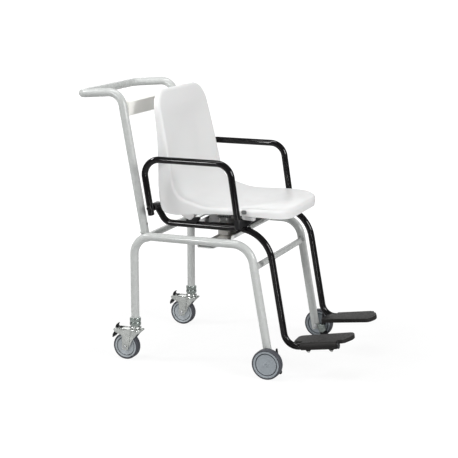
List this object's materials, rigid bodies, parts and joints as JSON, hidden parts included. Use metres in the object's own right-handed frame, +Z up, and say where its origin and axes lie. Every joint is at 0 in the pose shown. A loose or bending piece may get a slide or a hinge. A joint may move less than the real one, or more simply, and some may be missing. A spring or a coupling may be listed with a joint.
{
  "type": "digital chair scale",
  "caption": "Wheeled weighing chair: tube frame on castors, load cell under a moulded seat, swing-up armrests, folding footplates, push handle with display.",
  "frame": {"origin": "on the floor, under the middle of the bounding box", "axes": "+Z up, the sitter looks along -Y, +X is the sitter's left"},
  "size_m": [0.557, 0.9688, 0.9224],
  "materials": {
    "grey_paint": "semi-gloss light grey paint",
    "black_paint": "semi-gloss black paint",
    "seat_shell": "satin near-white moulding",
    "zinc": "zinc plated",
    "steel": "bright",
    "aluminium": "machined",
    "tread": "matt dark grey",
    "hub": "satin blue-grey",
    "black_plastic": "satin black",
    "footplate": "grained dark grey",
    "housing": "satin off-white",
    "window": "clear",
    "board": "green"
  },
  "bodies": {
    "frame": {"front_cross_tube": "grey_paint", "rear_cross_tube": "grey_paint", "push_handle": "grey_paint", "load_cell_trough": "grey_paint", "load_cell": "aluminium", "load_cell_pad": "steel", "load_pedestal": "black_paint", "load_bolts": "steel", "seat_cross_plate": "black_paint", "rear_strap": "zinc", "seat_shell": "seat_shell", "display_housing": "housing", "display_cover": "housing", "display_window": "window", "display_module": "board", "side_frame_left": "grey_paint", "seat_tube_left": "black_paint", "armrest_pivot_left": "black_paint", "armrest_peg_left": "black_paint", "tube_plug_left": "black_plastic", "seat_lug_rear_left": "seat_shell", "seat_lug_front_left": "seat_shell", "front_axle_left": "steel", "front_brake_mount_left": "zinc", "castor_socket_left": "zinc", "side_frame_right": "grey_paint", "seat_tube_right": "black_paint", "armrest_pivot_right": "black_paint", "armrest_peg_right": "black_paint", "tube_plug_right": "black_plastic", "seat_lug_rear_right": "seat_shell", "seat_lug_front_right": "seat_shell", "front_axle_right": "steel", "front_brake_mount_right": "zinc", "castor_socket_right": "zinc"},
    "armrest_left_body": {"armrest_left": "black_paint", "armrest_foot_left": "black_plastic"},
    "footplate_left_body": {"footplate_left": "footplate"},
    "front_wheel_left_body": {"front_wheel_tread_left": "tread", "front_wheel_hub_left": "hub"},
    "front_brake_left_body": {"front_brake_lever_left": "black_plastic"},
    "castor_fork_left_body": {"castor_fork_left": "zinc", "castor_axle_left": "steel"},
    "castor_wheel_left_body": {"castor_tread_left": "tread", "castor_hub_left": "hub"},
    "castor_brake_left_body": {"castor_brake_left": "black_plastic"},
    "armrest_right_body": {"armrest_right": "black_paint", "armrest_foot_right": "black_plastic"},
    "footplate_right_body": {"footplate_right": "footplate"},
    "front_wheel_right_body": {"front_wheel_tread_right": "tread", "front_wheel_hub_right": "hub"},
    "front_brake_right_body": {"front_brake_lever_right": "black_plastic"},
    "castor_fork_right_body": {"castor_fork_right": "zinc", "castor_axle_right": "steel"},
    "castor_wheel_right_body": {"castor_tread_right": "tread", "castor_hub_right": "hub"},
    "castor_brake_right_body": {"castor_brake_right": "black_plastic"},
    "display_key_1_body": {"display_key_1": "hub"},
    "display_key_2_body": {"display_key_2": "hub"},
    "display_key_3_body": {"display_key_3": "hub"}
  },
  "joints": [
    {"name": "armrest_left_lift", "type": "hinge", "parent": "frame", "child": "armrest_left_body", "pos_m": [0.25, 0.1914, 0.535], "axis": [-1, 0, 0], "range_deg": [0, 95]},
    {"name": "footplate_left_fold", "type": "hinge", "parent": "frame", "child": "footplate_left_body", "pos_m": [0.1985, -0.3156, 0.1012], "axis": [0, 0.989, -0.1481], "range_deg": [0, 90]},
    {"name": "front_wheel_left_spin", "type": "hinge", "parent": "frame", "child": "front_wheel_left_body", "pos_m": [0.26525, -0.2321, 0.0505], "axis": [1, 0, 0], "continuous": true},
    {"name": "front_brake_left_press", "type": "hinge", "parent": "frame", "child": "front_brake_left_body", "pos_m": [0.237, -0.2576, 0.043], "axis": [-1, 0, 0], "range_deg": [0, 12]},
    {"name": "castor_left_swivel", "type": "hinge", "parent": "frame", "child": "castor_fork_left_body", "pos_m": [0.2354, 0.2594, 0.1085], "axis": [0, 0, 1], "continuous": true},
    {"name": "castor_left_roll", "type": "hinge", "parent": "castor_fork_left_body", "child": "castor_wheel_left_body", "pos_m": [0.2354, 0.2924, 0.0458], "axis": [1, 0, 0], "continuous": true},
    {"name": "castor_left_brake", "type": "hinge", "parent": "castor_fork_left_body", "child": "castor_brake_left_body", "pos_m": [0.2354, 0.3119, 0.0945], "axis": [-1, 0, 0], "range_deg": [0, 9]},
    {"name": "armrest_right_lift", "type": "hinge", "parent": "frame", "child": "armrest_right_body", "pos_m": [-0.25, 0.1914, 0.535], "axis": [-1, 0, 0], "range_deg": [0, 95]},
    {"name": "footplate_right_fold", "type": "hinge", "parent": "frame", "child": "footplate_right_body", "pos_m": [-0.1985, -0.3156, 0.1012], "axis": [0, -0.989, 0.1481], "range_deg": [0, 90]},
    {"name": "front_wheel_right_spin", "type": "hinge", "parent": "frame", "child": "front_wheel_right_body", "pos_m": [-0.26525, -0.2321, 0.0505], "axis": [1, 0, 0], "continuous": true},
    {"name": "front_brake_right_press", "type": "hinge", "parent": "frame", "child": "front_brake_right_body", "pos_m": [-0.237, -0.2576, 0.043], "axis": [-1, 0, 0], "range_deg": [0, 12]},
    {"name": "castor_right_swivel", "type": "hinge", "parent": "frame", "child": "castor_fork_right_body", "pos_m": [-0.2354, 0.2594, 0.1085], "axis": [0, 0, 1], "continuous": true},
    {"name": "castor_right_roll", "type": "hinge", "parent": "castor_fork_right_body", "child": "castor_wheel_right_body", "pos_m": [-0.2354, 0.2924, 0.0458], "axis": [1, 0, 0], "continuous": true},
    {"name": "castor_right_brake", "type": "hinge", "parent": "castor_fork_right_body", "child": "castor_brake_right_body", "pos_m": [-0.2354, 0.3119, 0.0945], "axis": [-1, 0, 0], "range_deg": [0, 9]},
    {"name": "display_key_1_press", "type": "slide", "parent": "frame", "child": "display_key_1_body", "axis": [0, -0.9772, -0.2124], "range_m": [0, 0.001], "stiffness_N_per_m": 350},
    {"name": "display_key_2_press", "type": "slide", "parent": "frame", "child": "display_key_2_body", "axis": [0, -0.9772, -0.2124], "range_m": [0, 0.001], "stiffness_N_per_m": 350},
    {"name": "display_key_3_press", "type": "slide", "parent": "frame", "child": "display_key_3_body", "axis": [0, -0.9772, -0.2124], "range_m": [0, 0.001], "stiffness_N_per_m": 350}
  ]
}
